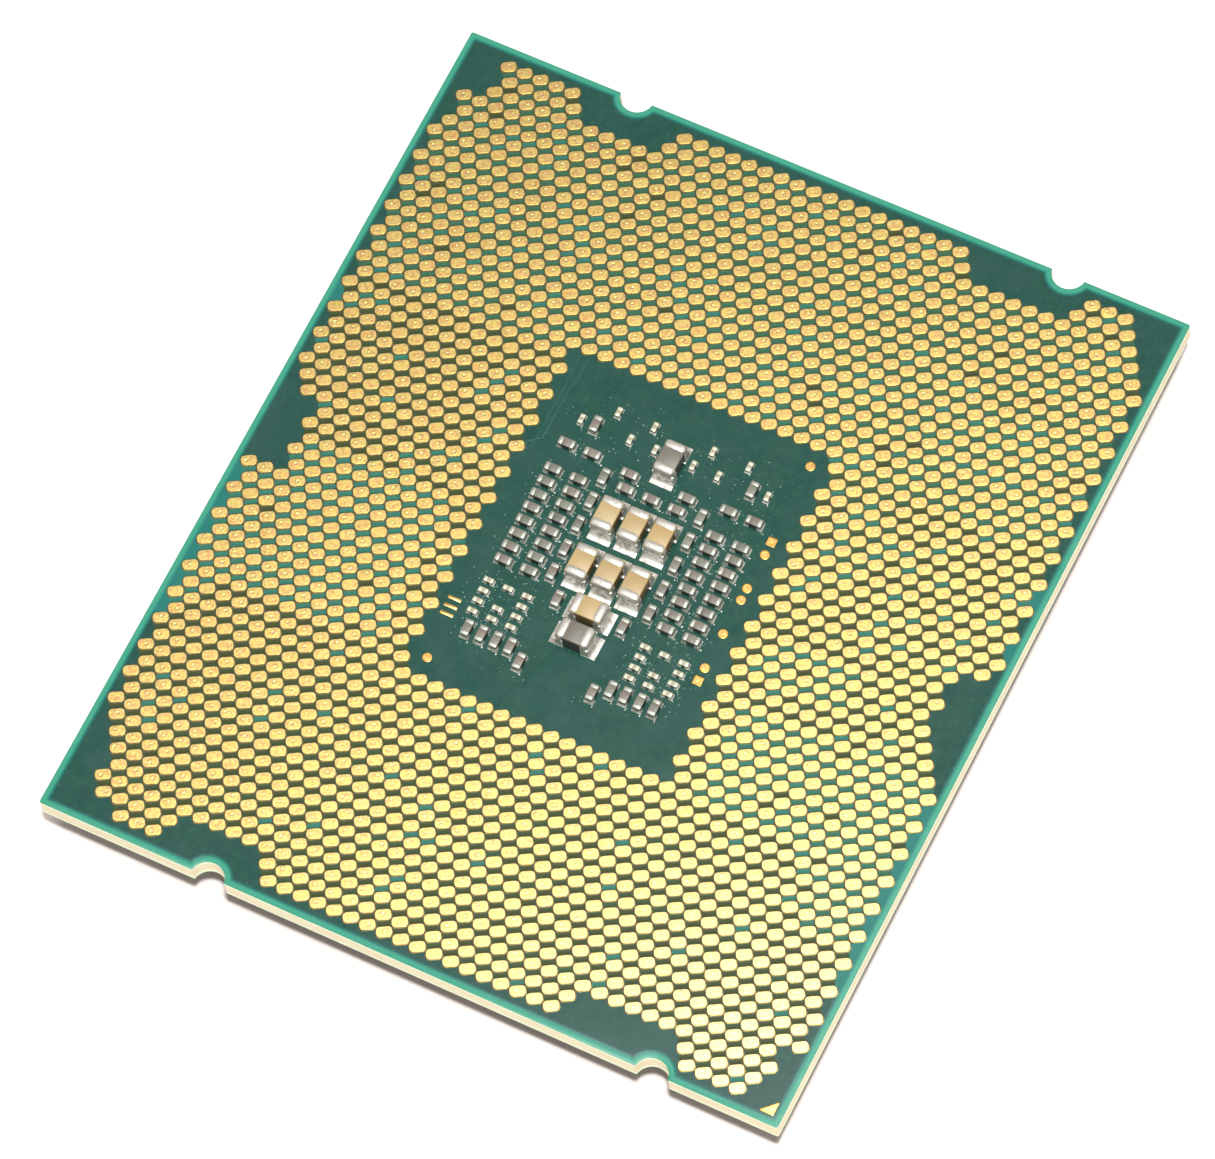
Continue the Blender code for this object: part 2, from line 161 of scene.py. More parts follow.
def rounded_rectangle(half_x, half_y, corner, steps=4, centre=(0.0, 0.0), angle=0.0):
    """Counter-clockwise outline, starting at the corner in +X +Y."""
    corners = []
    for index, (sx, sy) in enumerate(((1, 1), (-1, 1), (-1, -1), (1, -1))):
        middle = (sx * (half_x - corner), sy * (half_y - corner))
        corners.append(arc(middle, corner, index * math.pi / 2, (index + 1) * math.pi / 2, steps))
    return rotated(np.concatenate(corners), angle) + np.array(centre)


def circle(radius, steps=32, centre=(0.0, 0.0)):
    """Counter-clockwise outline of a circle."""
    return arc(centre, radius, 0, 2 * math.pi, steps)[:-1]


def board_outline(inset=0.0, arc_steps=16):
    """Counter-clockwise outline of the board with its four notches, moved inwards by inset."""
    half_x = HALF_X - inset
    half_y = HALF_Y - inset
    radius = NOTCH_RADIUS + inset
    edge_angle = math.asin((NOTCH_OFFSET + inset) / radius)
    lower = [arc((-half_x + CORNER_RADIUS, -half_y + CORNER_RADIUS), CORNER_RADIUS,
                 math.pi, 1.5 * math.pi, 3)]
    for x in NOTCH_CENTRES_X:
        centre = (x, -HALF_Y - NOTCH_OFFSET)
        lower.append(arc(centre, radius, math.pi - edge_angle, edge_angle, arc_steps))
    lower.append(arc((half_x - CORNER_RADIUS, -half_y + CORNER_RADIUS), CORNER_RADIUS,
                     1.5 * math.pi, 2 * math.pi, 3))
    lower = np.concatenate(lower)
    upper = lower[::-1] * np.array((1, -1))
    return np.concatenate((lower, upper))


def ring(outline, z):
    """An outline at one level; z may be a number or one value for each point."""
    return np.column_stack((outline, np.broadcast_to(z, len(outline))))


def loft(rings, cap_start=True, cap_end=True, closed=False):
    """Points and faces through rings of equal length, the lowest first when seen from outside."""
    count = len(rings[0])
    faces = []
    for level in range(len(rings) if closed else len(rings) - 1):
        below = level * count
        above = (level + 1) % len(rings) * count
        for here in range(count):
            beside = (here + 1) % count
            faces.append((below + here, below + beside, above + beside, above + here))
    if cap_start and not closed:
        faces.append(tuple(range(count - 1, -1, -1)))
    if cap_end and not closed:
        top = (len(rings) - 1) * count
        faces.append(tuple(range(top, top + count)))
    return np.concatenate(rings), faces


def mesh_of(name, lofted):
    """A mesh from a loft's points and faces."""
    points, faces = lofted
    mesh = bpy.data.meshes.new(name)
    mesh.from_pydata(points.tolist(), [], faces)
    return mesh


def placed(name, data):
    """A new object with this data, linked to the scene."""
    item = bpy.data.objects.new(name, data)
    COLLECTION.objects.link(item)
    return item


class Shape:
    """Collects lofts into one mesh, each with its material slot and values on its points."""

    def __init__(self):
        self.points = []
        self.faces = []
        self.slots = []
        self.values = {}
        self.count = 0

    def add(self, lofted, slot=0, **values):
        """Adds a loft; a value is one number, or a number or vector for each point."""
        points, faces = lofted
        self.points.append(points)
        self.faces.extend(tuple(corner + self.count for corner in face) for face in faces)
        self.slots.extend([slot] * len(faces))
        for name, value in values.items():
            size = (len(points), 3) if np.ndim(value) == 2 else (len(points),)
            self.values.setdefault(name, []).append(np.broadcast_to(value, size))
        self.count += len(points)
        return self

    def build(self, name, materials, slot, stands_for=(), sharp=40):
        """Makes the object, which rides on the root body and replaces the CAD nodes in stands_for."""
        mesh = mesh_of(name, (np.concatenate(self.points), self.faces))
        for material in materials:
            mesh.materials.append(material)
        mesh.polygons.foreach_set("material_index", self.slots)
        for key, arrays in self.values.items():
            data = np.concatenate(arrays).astype(np.float32)
            kind, field = ("FLOAT_VECTOR", "vector") if data.ndim == 2 else ("FLOAT", "value")
            mesh.attributes.new(key, kind, "POINT").data.foreach_set(field, data.ravel())
        mesh.shade_smooth()
        mesh.set_sharp_from_angle(angle=math.radians(sharp))
        mesh.update()
        piece = placed(name, mesh)
        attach(piece, "root")
        if stands_for:
            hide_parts(*stands_for)
        return piece


# Materials ----

class Finish:
    """A procedural material: a Principled shader and the nodes that feed it."""

    def __init__(self, name, **sockets):
        self.material = bpy.data.materials.new(name)
        self.material.use_nodes = True
        self.tree = self.material.node_tree
        self.shader = self.tree.nodes["Principled BSDF"]
        for key, value in sockets.items():
            self.shader.inputs[key.replace("_", " ")].default_value = value
        self.place = self.node("TexCoord", {}, "Object")
        self.normal = None

    def link(self, source, target):
        """Feeds an input from a socket, or sets it to a constant."""
        if isinstance(source, bpy.types.NodeSocket):
            self.tree.links.new(source, target)
        else:
            target.default_value = source

    def feed(self, name, source):
        """Feeds one of the shader's inputs."""
        self.link(source, self.shader.inputs[name])

    def node(self, kind, inputs, output, **settings):
        """Adds a shader node with its settings and inputs, and returns one of its outputs."""
        node = self.tree.nodes.new("ShaderNode" + kind)
        for name, value in settings.items():
            setattr(node, name, value)
        for name, source in inputs.items():
            self.link(source, node.inputs[name])
        return node.outputs[output]

    def noise(self, size, detail=3.0, stretch=(1, 1, 1)):
        """Noise with blotches about size across, in metres, and longer where stretch is less than 1."""
        place = self.node("Mapping", {"Scale": stretch, "Vector": self.place}, "Vector")
        inputs = {"Scale": 1 / size, "Detail": detail, "Roughness": 0.55, "Vector": place}
        return self.node("TexNoise", inputs, "Fac")

    def value(self, name, output="Fac"):
        """What the mesh says under a name."""
        return self.node("Attribute", {}, output, attribute_name=name)

    def math(self, operation, first, second=0.0):
        """One sum on sockets or numbers."""
        return self.node("Math", {0: first, 1: second}, 0, operation=operation)

    def remap(self, value, low, high, out_low=0.0, out_high=1.0, curve="SMOOTHSTEP"):
        """Turns low to high into out_low to out_high, and stays at these beyond."""
        inputs = {"Value": value, "From Min": low, "From Max": high, "To Min": out_low, "To Max": out_high}
        return self.node("MapRange", inputs, "Result", interpolation_type=curve)

    def mix(self, factor, first, second):
        """Blends two colours; each is a socket or an (r, g, b)."""
        colours = [colour if isinstance(colour, bpy.types.NodeSocket) else (*colour, 1.0)
                   for colour in (first, second)]
        inputs = {"Factor": factor, "A": colours[0], "B": colours[1]}
        return self.node("Mix", inputs, "Result", data_type="RGBA")

    def tint(self, colour, other, source, low, high, share=1.0):
        """Blends up to a share of another colour in, where a source rises from low to high."""
        return self.mix(self.remap(source, low, high, 0.0, share), colour, other)

    def height(self, value, distance):
        """Adds a bump whose full height is distance, in metres, to those already there."""
        inputs = {"Strength": 1.0, "Distance": distance, "Height": value}
        if self.normal:
            inputs["Normal"] = self.normal
        self.normal = self.node("Bump", inputs, "Normal")
        self.feed("Normal", self.normal)


def solder_mask_finish(name):
    """Green lacquer: teal where no copper lies under it, dark over copper, with a faint weave."""
    finish = Finish(name, Roughness=0.24, Specular_IOR_Level=0.32)
    weave_x = finish.noise(0.16 * MM, 1.0, (1.0, 0.25, 1.0))
    weave_y = finish.noise(0.16 * MM, 1.0, (0.25, 1.0, 1.0))
    weave = finish.math("MULTIPLY", weave_x, weave_y)
    copper = finish.tint((0.010, 0.056, 0.043), (0.015, 0.071, 0.052), weave, 0.12, 0.42)
    copper = finish.tint(copper, (0.017, 0.068, 0.056), finish.noise(4 * MM), 0.35, 0.7, 0.6)
    copper = finish.tint(copper, (0.009, 0.048, 0.037), finish.noise(0.9 * MM, 2.0), 0.55, 0.75, 0.35)
    bare = finish.mix(finish.noise(0.8 * MM), (0.034, 0.245, 0.155), (0.050, 0.295, 0.200))
    cover = finish.value("copper")
    bare = finish.mix(finish.remap(cover, 0.0, 0.5, curve="LINEAR"), bare, (0.014, 0.165, 0.140))
    colour = finish.mix(finish.remap(cover, 0.4, 1.0, curve="LINEAR"), bare, copper)
    flecks = finish.noise(0.13 * MM, 1.0)
    finish.feed("Base Color", finish.tint(colour, (0.12, 0.26, 0.22), flecks, 0.72, 0.80, 0.3))
    finish.feed("Roughness", finish.remap(finish.noise(1.5 * MM), 0.3, 0.7, 0.20, 0.30))
    finish.height(finish.noise(0.35 * MM, 2.0), 0.003 * MM)
    return finish.material


def slot_finish():
    """Solder mask between lands: dark over copper, teal over a bare opening, as its tone says."""
    finish = Finish("mask_between_lands", Roughness=0.34, Specular_IOR_Level=0.2)
    tone = finish.value("tone")
    colour = finish.tint((0.042, 0.053, 0.012), (0.032, 0.108, 0.055), tone, 0.05, 0.5)
    colour = finish.tint(colour, (0.027, 0.160, 0.116), tone, 0.5, 1.0)
    colour = finish.tint(colour, (0.02, 0.05, 0.04), finish.noise(0.12 * MM), 0.3, 0.7, 0.3)
    finish.feed("Base Color", colour)
    finish.height(finish.noise(0.2 * MM, 2.0), 0.003 * MM)
    return finish.material


def opening_finish():
    """The gap round a land: on its near side, where tone is high, gold metal painted as the glow of the
    lands' highlights; dark resin elsewhere.
    """
    finish = Finish("mask_openings", Roughness=0.24)
    near_glow = finish.remap(finish.value("tone"), 0.2, 0.95)
    grain = finish.noise(0.12 * MM)
    resin = finish.mix(grain, (0.040, 0.036, 0.010), (0.085, 0.066, 0.020))
    # painted glow: gold metal on the near side of each gap stands for the lands' highlights spreading past
    # their edges
    gold = finish.mix(grain, (0.27, 0.22, 0.095), (0.37, 0.30, 0.135))
    finish.feed("Base Color", finish.mix(near_glow, resin, gold))
    finish.feed("Metallic", finish.math("MULTIPLY", near_glow, 0.9))
    return finish.material


def gold_finish(name, light, dark, edging, coat):
    """Matt gold plate: each land has its own tone, a fine grain with pale flecks painted as tiny glints, a
    band of the edging colour inside the rim that on the lands is a painted highlight, a deeper edge and a
    contact's mark.
    """
    finish = Finish(name, Metallic=1.0, Roughness=0.34, Coat_Roughness=0.20, Coat_IOR=2.6)
    local = finish.value("local", "Vector")
    along, across, inset = (finish.node("SeparateXYZ", {0: local}, axis) for axis in "XYZ")
    plate = finish.mix(finish.value("tone"), dark, light)
    plate = finish.tint(plate, (0.96, 0.46, 0.12), finish.noise(0.27 * MM, 2.0), 0.47, 0.55, 0.85)
    grain = finish.noise(0.16 * MM, 2.0)
    plate = finish.tint(plate, (0.97, 0.80, 0.12), grain, 0.51, 0.58, 0.8)
    # painted glints: pale yellow flecks in the grain stand for tiny glints on the plate
    plate = finish.tint(plate, (1.0, 0.94, 0.60), finish.noise(0.11 * MM, 1.0), 0.63, 0.69, 0.8)
    # painted highlight: on the lands the edging colour is a pale band inside the rim, where a rounded edge
    # would catch the light; on the marks it is a deeper orange ring
    plate = finish.mix(finish.remap(inset, 0.06, 0.12, 0.6, 0.0), plate, edging)
    plate = finish.mix(finish.remap(inset, 0.008, 0.045, 0.8, 0.0), plate, (0.52, 0.33, 0.11))
    squares = [finish.math("MULTIPLY", part, part) for part in (along, across)]
    distance = finish.math("SQRT", finish.math("ADD", *squares))
    wobble = finish.math("MULTIPLY", finish.math("SUBTRACT", finish.noise(0.09 * MM, 1.0), 0.5), 0.12)
    distance = finish.math("ADD", distance, wobble)
    dot = finish.remap(distance, 0.040, 0.085, 1.0, 0.0)
    halo_inside = finish.remap(distance, 0.06, 0.12)
    halo_outside = finish.remap(distance, 0.14, 0.22, 1.0, 0.0)
    halo = finish.math("MULTIPLY", halo_inside, halo_outside)
    plate = finish.mix(finish.math("MULTIPLY", halo, 0.25), plate, (0.70, 0.38, 0.06))
    plate = finish.mix(finish.math("MULTIPLY", dot, 0.65), plate, (1.0, 0.92, 0.48))
    finish.feed("Base Color", plate)
    finish.feed("Roughness", finish.remap(finish.noise(0.2 * MM), 0.3, 0.7, 0.27, 0.37))
    finish.feed("Coat Weight", finish.remap(inset, 0.02, 0.06, 0.0, coat))
    marks = finish.math("SUBTRACT", finish.math("MULTIPLY", halo, 0.6), dot)
    finish.height(marks, 0.004 * MM)
    finish.height(grain, 0.0012 * MM)
    return finish.material


def laminate_finish(name, light, dark, band):
    """Cut edge of glass cloth and resin, with bundles of fibre in layers."""
    finish = Finish(name, Roughness=0.62)
    bundles = finish.noise(0.35 * MM, 3.0, (1.0, 1.0, 3.0))
    colour = finish.tint(light, dark, finish.noise(band, 2.0, (0.12, 0.12, 1.0)), 0.35, 0.65)
    finish.feed("Base Color", finish.tint(colour, (0.90, 0.86, 0.74), bundles, 0.5, 0.75, 0.35))
    finish.height(bundles, 0.012 * MM)
    finish.height(finish.noise(0.05 * MM, 2.0), 0.004 * MM)
    return finish.material


def nickel_finish():
    """Fine matt nickel plate with a rolled grain along Y and faint handling marks."""
    finish = Finish("nickel_plating", Metallic=1.0, Roughness=0.34)
    grain = finish.noise(0.05 * MM, 2.0, (1.0, 0.08, 1.0))
    pits = finish.noise(0.12 * MM, 4.0)
    scratches = finish.noise(0.9 * MM, 2.0, (1.0, 0.05, 1.0))
    colour = finish.tint((0.56, 0.55, 0.53), (0.66, 0.65, 0.62), finish.noise(7 * MM), 0.3, 0.7)
    finish.feed("Base Color", finish.tint(colour, (0.76, 0.75, 0.73), scratches, 0.68, 0.73, 0.3))
    finish.feed("Roughness", finish.remap(pits, 0.3, 0.7, 0.28, 0.42))
    finish.height(grain, 0.002 * MM)
    finish.height(pits, 0.003 * MM)
    return finish.material


def tin_finish(name, bright, dull, roughness, lump, metallic=1.0):
    """Tinned metal: soft and pale, with clouded patches about a lump across."""
    finish = Finish(name, Roughness=roughness, Metallic=metallic)
    patches = finish.noise(lump)
    finish.feed("Base Color", finish.tint(bright, dull, patches, 0.38, 0.66))
    finish.feed("Roughness", finish.remap(patches, 0.3, 0.75, roughness * 0.7, roughness * 1.5))
    finish.height(finish.noise(lump * 0.8, 2.0), lump * 0.05)
    return finish.material


def ceramic_finish(name, light, dark, warm):
    """Fired ceramic with a fine speckle and painted shade on its walls, each chip a little lighter or
    warmer.
    """
    finish = Finish(name, Roughness=0.5, IOR=1.65)
    tone = finish.value("tone")
    warmth = finish.math("FRACT", finish.math("MULTIPLY", tone, 7.3))
    colour = finish.tint(finish.mix(tone, dark, light), warm, warmth, 0.2, 1.0, 0.7)
    speckle = finish.noise(0.05 * MM)
    colour = finish.tint(colour, dark, speckle, 0.35, 0.75, 0.4)
    colour = finish.tint(colour, light, finish.noise(0.5 * MM, 2.0), 0.3, 0.7, 0.3)
    # painted shade: below the top, the walls take a darker copy of the colour, as if light fell only on
    # the top
    wall = finish.remap(finish.value("level"), 0.90, 0.98, 1.0, 0.0)
    wall_shade_colour = tuple(channel * 0.42 for channel in dark)
    finish.feed("Base Color", finish.mix(wall, colour, wall_shade_colour))
    finish.height(speckle, 0.004 * MM)
    return finish.material


def plain_finish(name, colour, other, roughness, lump, metallic=0.0, depth=0.05):
    """A mottled material for the whitish beads that are painted glints, for crumbs and hidden pieces;
    depth is the bump's share of a lump.
    """
    finish = Finish(name, Roughness=roughness, Metallic=metallic)
    patches = finish.noise(lump)
    finish.feed("Base Color", finish.tint(colour, other, patches, 0.3, 0.7))
    finish.height(patches, lump * depth)
    return finish.material


MASK = solder_mask_finish("solder_mask")
OPENING = opening_finish()
SLOT = slot_finish()
# the lands' edging colour, (0.93, 0.77, 0.28), is the painted highlight along their rims
GOLD = gold_finish("gold_plating", (1.0, 0.77, 0.165), (0.99, 0.655, 0.105), (0.93, 0.77, 0.28), 1.0)
GOLD_MARK = gold_finish("gold_marks", (0.82, 0.46, 0.12), (0.78, 0.41, 0.10), (0.68, 0.38, 0.04), 0.5)
CORE = laminate_finish("fibreglass", (0.77, 0.78, 0.55), (0.76, 0.69, 0.46), 0.25 * MM)
BUILDUP = laminate_finish("buildup_resin", (0.82, 0.94, 0.70), (0.80, 0.90, 0.64), 0.06 * MM)
NICKEL = nickel_finish()
TERMINAL = tin_finish("tinned_terminal", (0.73, 0.72, 0.65), (0.46, 0.45, 0.40), 0.42, 0.14 * MM, 0.75)
MEDIUM_TERMINAL = tin_finish("tinned_end", (0.54, 0.57, 0.50), (0.36, 0.38, 0.335), 0.50, 0.10 * MM)
SMALL_TERMINAL = tin_finish("small_tinned_end", (0.74, 0.77, 0.59), (0.59, 0.61, 0.47), 0.55, 0.08 * MM)
SOLDER = tin_finish("solder_fillet", (0.86, 0.85, 0.79), (0.40, 0.38, 0.33), 0.36, 0.32 * MM, 0.6)
# whitish, barely metallic beads that are painted glints of the solder
GLINT_FINISH = plain_finish("solder_bead", (0.82, 0.81, 0.76), (0.95, 0.94, 0.90), 0.3, 0.04 * MM, 0.2)
TAN = ceramic_finish("tan_ceramic", (0.43, 0.33, 0.155), (0.34, 0.235, 0.095), (0.42, 0.28, 0.11))
GREY = ceramic_finish("grey_ceramic", (0.180, 0.184, 0.138), (0.085, 0.091, 0.072), (0.185, 0.130, 0.112))
BROWN = ceramic_finish("brown_grey_ceramic", (0.184, 0.173, 0.135), (0.092, 0.087, 0.072),
                       (0.182, 0.161, 0.128))
BEIGE = ceramic_finish("beige_ceramic", (0.38, 0.36, 0.255), (0.245, 0.22, 0.155), (0.36, 0.27, 0.20))
SPECK = plain_finish("flux_residue", (0.22, 0.40, 0.33), (0.60, 0.68, 0.62), 0.3, 0.03 * MM)
SEALANT = plain_finish("lid_sealant", (0.030, 0.030, 0.032), (0.055, 0.055, 0.06), 0.55, 0.4 * MM)
SILICON = plain_finish("silicon", (0.20, 0.21, 0.25), (0.26, 0.27, 0.31), 0.12, 2 * MM, 0.6, 0.0005)
INDIUM = plain_finish("indium_solder", (0.62, 0.63, 0.65), (0.70, 0.71, 0.72), 0.4, 0.8 * MM, 1.0, 0.02)
BUMPS = plain_finish("bump_solder", (0.56, 0.57, 0.58), (0.64, 0.65, 0.66), 0.42, 0.15 * MM, 1.0)
UNDERFILL = plain_finish("underfill_epoxy", (0.08, 0.08, 0.09), (0.13, 0.13, 0.14), 0.35, 0.5 * MM)


# Board ----

def layer(name, node, material):
    """A cut laminate layer with slightly broken edges and a wall that dips a little halfway up."""
    low, high = (corner.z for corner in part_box(node))
    edge = 0.02 * MM
    dip = 0.003 * MM
    profile = ((low, edge), (low + edge, 0.0), ((low + high) / 2, dip), (high - edge, 0.0), (high, edge))
    rings = [ring(board_outline(inset), z) for z, inset in profile]
    Shape().add(loft(rings)).build(name, [material], node_slot(node), [node])


def node_slot(node):
    """The material slot that the record gives a CAD node."""
    for part in frame["record"]["subparts"]:
        if part["node"] == node:
            return part["material_slot"]
    raise KeyError(node)


def mask_sheet(name, node, up):
    """Solder mask that steps up over the copper inside its bare rim; up is +1 on the land side."""
    low, high = (corner.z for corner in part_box(node))
    base, face = (low, high) if up > 0 else (high, low)
    step = 0.012 * MM * up
    # Inset, level and how much copper shows, from 0 to 1
    profile = (
        (0.0, base, 0.0),
        (0.0, face - step - 0.004 * MM * up, 0.0),
        (0.012 * MM, face - step, 0.0),
        (COPPER_PULLBACK - 0.11 * MM, face - step, 0.0),
        (COPPER_PULLBACK - 0.02 * MM, face - step, 0.30),
        (COPPER_PULLBACK + 0.07 * MM, face - 0.003 * MM * up, 0.72),
        (COPPER_PULLBACK + 0.18 * MM, face, 1.0),
    )
    rings = []
    copper = []
    for inset, z, value in profile[::up]:
        outline = board_outline(inset)
        rings.append(ring(outline, z))
        copper.append(np.full(len(outline), value))
    Shape().add(loft(rings), copper=np.concatenate(copper)).build(name, [MASK], "solder_mask", [node])


# Lands ----

def site(column, row):
    """Where a place of the lattice lies, in metres."""
    return (column - (COLUMNS - 1) / 2) * STEP_X, ((ROWS - 1) / 2 - row) * STEP_Y


def has_land(column, row):
    """Whether a place of the lattice holds a land."""
    if not (0 <= column < COLUMNS and 0 <= row < ROWS) or (column + row) % 2:
        return False
    if row in CENTRE_ROWS and column in CENTRE_COLUMNS:
        return False
    return not any(first <= column <= last for first, last in BARE_SITES.get(row, ()))


def field_sites(side):
    """Columns and rows of the lands of one field."""
    for row in FIELD_ROWS[side]:
        for column in range(row % 2, COLUMNS, 2):
            if side == "west" and column >= CENTRE_COLUMNS.start:
                continue
            if side == "east" and column < CENTRE_COLUMNS.stop:
                continue
            if has_land(column, row):
                yield column, row


def land_outline(inset):
    """A land's outline round the origin, moved inwards by inset."""
    half_length = LAND_LENGTH / 2 - inset
    half_width = LAND_WIDTH / 2 - inset
    return rounded_rectangle(half_length, half_width, LAND_CORNER - inset, angle=TILT)


def land_pattern():
    """One land round the origin: points, faces and each point's place along, across and in, in mm."""
    profile = ((0.0, 0.0), (0.0, 0.80), (0.006, 0.93), (0.016, 0.985), (0.050, 1.0), (0.13, 1.0))
    rise = LAND_TOP - MASK_TOP
    rings = [ring(land_outline(inset * MM), MASK_FOOT + rise * share) for inset, share in profile]
    points, faces = loft(rings, cap_start=False)
    insets = np.repeat([inset for inset, share in profile], len(rings[0]))
    return points, faces, np.column_stack((rotated(points[:, :2], -TILT) / MM, insets))


def opening_pattern():
    """The mask opening round one land: points, faces and a tone that is high on its near side, where the
    lands' glow is painted.
    """
    floor = MASK_TOP + 0.001 * MM
    outer = land_outline(-OPENING_WIDTH) + rotated(np.array((0.0, -OPENING_SHIFT)), TILT)
    inner = land_outline(0.0)
    rings = [ring(outer, MASK_FOOT), ring(outer, floor), ring(inner, floor), ring(inner, MASK_FOOT)]
    points, faces = loft(rings, cap_start=False, cap_end=False)
    along, across = rotated(points[:, :2], -TILT).T
    return points, faces, 0.4 * along / (LAND_LENGTH / 2) - across / (LAND_WIDTH / 2)


def land_fields():
    """The gold lands and the narrow mask openings round them, two meshes for each of the four fields."""
    points, faces, local = land_pattern()
    opening_points, opening_faces, near = opening_pattern()
    for side in FIELD_ROWS:
        lands, openings = Shape(), Shape()
        for column, row in field_sites(side):
            place = np.array((*site(column, row), 0.0))
            marked = RANDOM.random() < MARKED_SHARE
            mark = (RANDOM.gauss(0, 0.07), RANDOM.gauss(0, 0.05), 0.0) if marked else (FAR, FAR, 0.0)
            lands.add((points + place, faces), local=local - np.array(mark), tone=RANDOM.random())
            openings.add((opening_points + place, opening_faces), tone=near)
        lands.build("lands_" + side, [GOLD], "gold_plating", ["land_field_" + side], sharp=5)
        openings.build("mask_openings_" + side, [OPENING], "solder_mask")


def slot_strip():
    """A strip of solder mask that climbs towards the lands on both of its long sides."""
    half_length = 0.37 * MM
    half_width = 0.13 * MM
    dip = 0.004 * MM
    climb = 0.006 * MM
    across = np.linspace(-1.0, 1.0, 7)
    top = np.column_stack((across * half_width, MASK_TOP + dip + climb * across ** 2))
    foot = np.array(((half_width, MASK_TOP - dip), (-half_width, MASK_TOP - dip)))
    section = np.concatenate((top, foot))
    rings = []
    for along in (half_length, -half_length):
        flat = np.column_stack((np.full(len(section), along), section[:, 0] - OPENING_SHIFT))
        rings.append(ring(rotated(flat, TILT), section[:, 1]))
    return loft(rings)


def slot_tone(x, y):
    """Tone of the strip at x, y in mm: near its zone's usual one, or teal, or now and then olive."""
    usual, teal_share = next((tone, share) for west, east, south, north, tone, share in SLOT_ZONES
                             if west <= x <= east and south <= y <= north)
    teal = RANDOM.random() < teal_share
    tone = RANDOM.uniform(0.85, 1.0) if teal else usual + RANDOM.gauss(0, 0.06)
    return 0.0 if RANDOM.random() < OLIVE_SHARE else tone


def mask_slots():
    """The strips of solder mask between the long sides of neighbouring lands."""
    shape = Shape()
    points, faces = slot_strip()
    for row in range(ROWS - 1):
        for column in range(row % 2, COLUMNS - 1, 2):
            if has_land(column, row) and has_land(column + 1, row + 1):
                x, y = site(column + 0.5, row + 0.5)
                shape.add((points + np.array((x, y, 0.0)), faces), tone=slot_tone(x / MM, y / MM))
    shape.build("mask_between_lands", [SLOT], "solder_mask")


def bare_edge_patches():
    """Stretches beside the land fields with no copper under the mask, which show teal like its rim."""
    shape = Shape()
    outer = HALF_X - COPPER_PULLBACK
    half_x = 0.45 * MM
    overrun = 0.8 * MM
    fade = 0.10 * MM
    corner = 0.14 * MM
    profile = ((0.0, MASK_FOOT), (0.0, MASK_TOP + 0.0004 * MM), (fade, MASK_TOP + 0.0005 * MM))
    for side, runs in BARE_EDGE_ROWS.items():
        for first, last in runs:
            north = site(0, first)[1] + overrun
            south = site(0, last)[1] - overrun
            centre = (side * (outer - half_x), (north + south) / 2)
            rings, copper = [], []
            for inset, z in profile:
                half_y = (north - south) / 2 - inset
                outline = rounded_rectangle(half_x - inset, half_y, corner - inset, 3, centre)
                beside_rim = np.abs(outline[:, 0]) > outer - 0.06 * MM
                edge_copper = np.where(beside_rim, 0.35, 0.95)
                rings.append(ring(outline, z))
                copper.append(edge_copper if inset == 0.0 else np.full(len(outline), 0.52))
            shape.add(loft(rings), copper=np.concatenate(copper))
    shape.build("mask_bare_patches", [MASK], "solder_mask")


# Gold marks ----

def gold_plate(name, node, outline_at, up=1):
    """A flat gold mark with a rounded rim; outline_at gives its outline for an inset."""
    low, high = (corner.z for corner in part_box(node))
    base, face = (MASK_FOOT, high) if up > 0 else (high + 0.012 * MM, low)
    profile = ((0.0, 0.0), (0.0, 0.8), (0.01, 0.95), (0.03, 1.0), (0.08, 1.0), (0.13, 1.0))[::up]
    rings = [ring(outline_at(inset * MM), base + (face - base) * share) for inset, share in profile]
    insets = np.repeat([inset for inset, share in profile], len(rings[0]))
    away = np.full(len(insets), FAR)
    local = np.column_stack((away, away, insets))
    shape = Shape().add(loft(rings), local=local, tone=RANDOM.uniform(0.2, 0.5))
    shape.build(name, [GOLD_MARK], "gold_plating", [node])


def node_centre(node):
    """The middle of a CAD node, seen from above."""
    low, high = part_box(node)
    return ((low.x + high.x) / 2, (low.y + high.y) / 2)


def probe_pads():
    """Round and square gold pads round the bare centre of the board."""
    radius = 0.285 * MM
    half = 0.275 * MM
    corner = 0.04 * MM
    dots = [f"probe_pad_{index}" for index in range(1, 6)] + ["fiducial_upper", "fiducial_lower"]
    for node in dots:
        centre = node_centre(node)
        gold_plate("gold_" + node, node, lambda inset: circle(radius - inset, centre=centre))
    for node in ("square_pad_upper", "square_pad_lower"):
        centre = node_centre(node)
        gold_plate("gold_" + node, node,
                   lambda inset: rounded_rectangle(half - inset, half - inset, corner, 3, centre))


def pin_one_markers():
    """Right-angled triangles with their square corner at the board's pin one corner."""
    for node, up in (("pin_one_marker_land_side", 1), ("pin_one_marker_die_side", -1)):
        low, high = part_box(node)

        def outline_at(inset):
            corner = 0.05 * MM
            right, bottom = high.x - inset - corner, low.y + inset + corner
            slant = (1 + math.sqrt(2)) * (inset + corner) - inset - corner
            top = high.y - inset - corner - slant
            left = low.x + inset + corner + slant
            return np.concatenate((
                arc((right, top), corner, 0, 0.75 * math.pi, 4),
                arc((left, bottom), corner, 0.75 * math.pi, 1.5 * math.pi, 4),
                arc((right, bottom), corner, 1.5 * math.pi, 2 * math.pi, 3),
            ))

        gold_plate("gold_" + node, node, outline_at, up)


